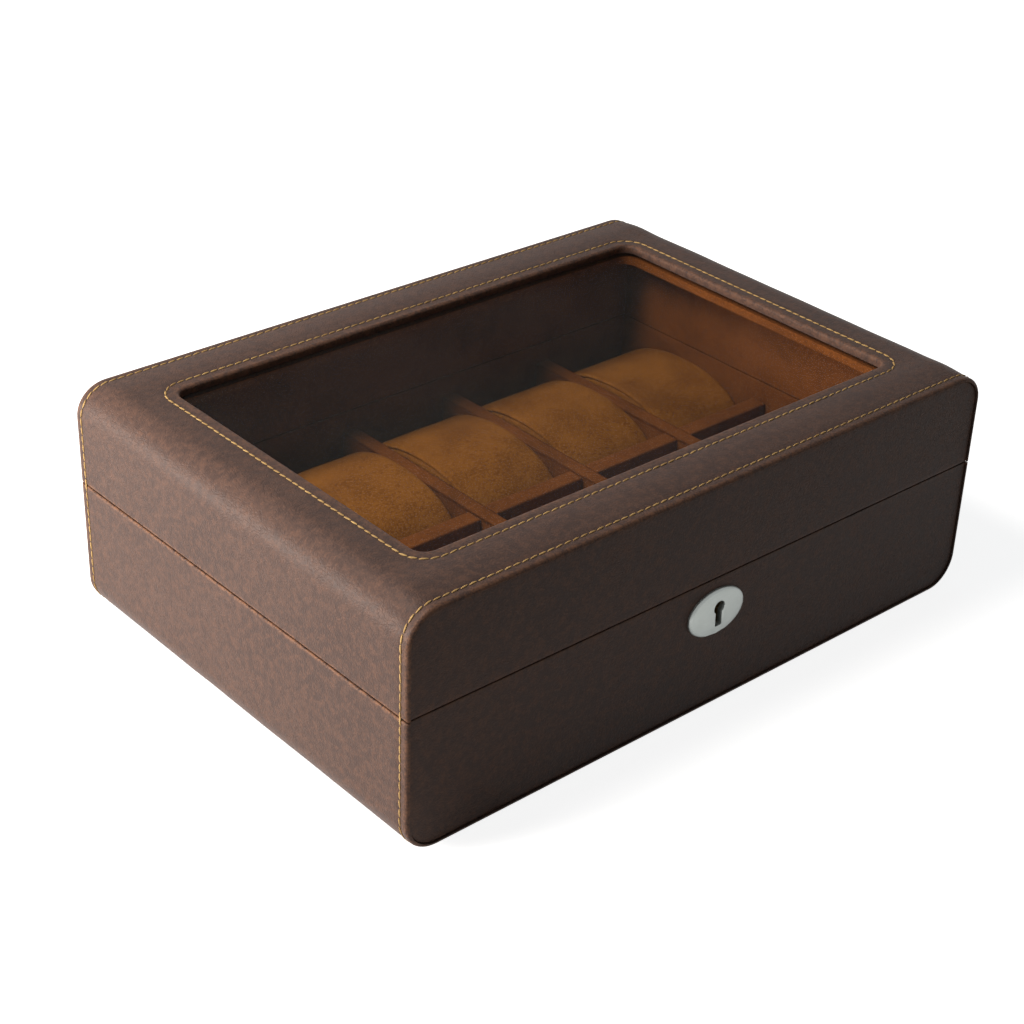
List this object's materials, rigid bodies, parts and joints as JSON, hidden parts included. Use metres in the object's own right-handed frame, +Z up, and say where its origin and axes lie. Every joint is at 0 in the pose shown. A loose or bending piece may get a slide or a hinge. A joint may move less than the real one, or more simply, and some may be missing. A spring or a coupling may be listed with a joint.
{
  "type": "watch box",
  "caption": "Leather-covered wooden watch box with a hinged glazed lid, a keyed box lock and suede cushions that lift out of a divided tray",
  "frame": {"origin": "middle of the felt under the base, on the surface the box stands on", "axes": "+X along the width towards the right end seen from the front, +Y from the front wall with the lock towards the hinges, +Z up"},
  "size_m": [0.3, 0.2164, 0.1026],
  "materials": {
    "leather": "dark brown grained leather with a soft sheen and lighter, worn edges",
    "board": "plain fibreboard, hidden under leather and lining",
    "lining_suede": "warm brown short-pile suede",
    "cushion_suede": "warm brown short-pile suede over soft filling",
    "felt": "dark brown felt",
    "glass": "clear flat glass",
    "satin_nickel": "satin nickel plate",
    "nickel_plate": "nickel-plated steel",
    "brass": "dark, aged brass"
  },
  "bodies": {
    "base": {"base_back_board": "board", "base_back_leather": "leather", "base_bottom_board": "board", "base_felt": "felt", "base_front_board": "board", "base_front_leather": "leather", "base_leather_wrap": "leather", "base_left_board": "board", "base_right_board": "board", "base_rim_leather": "leather", "base_wall_lining": "lining_suede", "hinge_base_screws": "nickel_plate", "hinge_left_base_leaf": "nickel_plate", "hinge_left_pin": "nickel_plate", "hinge_right_base_leaf": "nickel_plate", "hinge_right_pin": "nickel_plate", "lock_case": "nickel_plate", "lock_escutcheon": "satin_nickel", "lock_screws": "nickel_plate", "tray_cross_divider_1": "lining_suede", "tray_cross_divider_2": "lining_suede", "tray_cross_divider_3": "lining_suede", "tray_cross_divider_4": "lining_suede", "tray_floor_lining": "lining_suede", "tray_long_divider": "lining_suede"},
    "lid": {"lid_leather_wrap": "leather", "lid_left_board": "board", "lid_right_board": "board", "lid_front_board": "board", "lid_back_board": "board", "lid_top_board": "board", "lid_front_leather": "leather", "lid_back_leather": "leather", "window_glass": "glass", "glass_retainer": "lining_suede", "lid_wall_lining": "lining_suede", "lid_ceiling_lining": "lining_suede", "lid_rim_leather": "leather", "strike_plate": "nickel_plate", "strike_screws": "nickel_plate", "hinge_left_lid_leaf": "nickel_plate", "hinge_right_lid_leaf": "nickel_plate", "hinge_lid_screws": "nickel_plate"},
    "lock_plug": {"lock_plug": "brass"},
    "lock_bolt": {"lock_bolt": "brass"},
    "cushion_front_1": {"cushion_front_1": "cushion_suede"},
    "cushion_front_2": {"cushion_front_2": "cushion_suede"},
    "cushion_front_3": {"cushion_front_3": "cushion_suede"},
    "cushion_front_4": {"cushion_front_4": "cushion_suede"},
    "cushion_front_5": {"cushion_front_5": "cushion_suede"},
    "cushion_back_1": {"cushion_back_1": "cushion_suede"},
    "cushion_back_2": {"cushion_back_2": "cushion_suede"},
    "cushion_back_3": {"cushion_back_3": "cushion_suede"},
    "cushion_back_4": {"cushion_back_4": "cushion_suede"},
    "cushion_back_5": {"cushion_back_5": "cushion_suede"}
  },
  "joints": [
    {"name": "lid_hinge", "type": "hinge", "parent": "base", "child": "lid", "pos_m": [0, 0.107, 0.0594], "axis": [-1, 0, 0], "range_deg": [0, 95]},
    {"name": "plug_turn", "type": "hinge", "parent": "base", "child": "lock_plug", "pos_m": [0, -0.101, 0.0446], "axis": [0, 1, 0], "range_deg": [0, 90]},
    {"name": "bolt_slide", "type": "slide", "parent": "base", "child": "lock_bolt", "axis": [1, 0, 0], "range_m": [0, 0.006]},
    {"name": "cushion_front_1_lift", "type": "slide", "parent": "base", "child": "cushion_front_1", "axis": [0, 0, 1], "range_m": [0, 0.03]},
    {"name": "cushion_front_2_lift", "type": "slide", "parent": "base", "child": "cushion_front_2", "axis": [0, 0, 1], "range_m": [0, 0.03]},
    {"name": "cushion_front_3_lift", "type": "slide", "parent": "base", "child": "cushion_front_3", "axis": [0, 0, 1], "range_m": [0, 0.03]},
    {"name": "cushion_front_4_lift", "type": "slide", "parent": "base", "child": "cushion_front_4", "axis": [0, 0, 1], "range_m": [0, 0.03]},
    {"name": "cushion_front_5_lift", "type": "slide", "parent": "base", "child": "cushion_front_5", "axis": [0, 0, 1], "range_m": [0, 0.03]},
    {"name": "cushion_back_1_lift", "type": "slide", "parent": "base", "child": "cushion_back_1", "axis": [0, 0, 1], "range_m": [0, 0.03]},
    {"name": "cushion_back_2_lift", "type": "slide", "parent": "base", "child": "cushion_back_2", "axis": [0, 0, 1], "range_m": [0, 0.03]},
    {"name": "cushion_back_3_lift", "type": "slide", "parent": "base", "child": "cushion_back_3", "axis": [0, 0, 1], "range_m": [0, 0.03]},
    {"name": "cushion_back_4_lift", "type": "slide", "parent": "base", "child": "cushion_back_4", "axis": [0, 0, 1], "range_m": [0, 0.03]},
    {"name": "cushion_back_5_lift", "type": "slide", "parent": "base", "child": "cushion_back_5", "axis": [0, 0, 1], "range_m": [0, 0.03]}
  ],
  "couplings": [
    {"joint": "bolt_slide", "follows": "plug_turn", "m_per_rad": 0.003819}
  ]
}
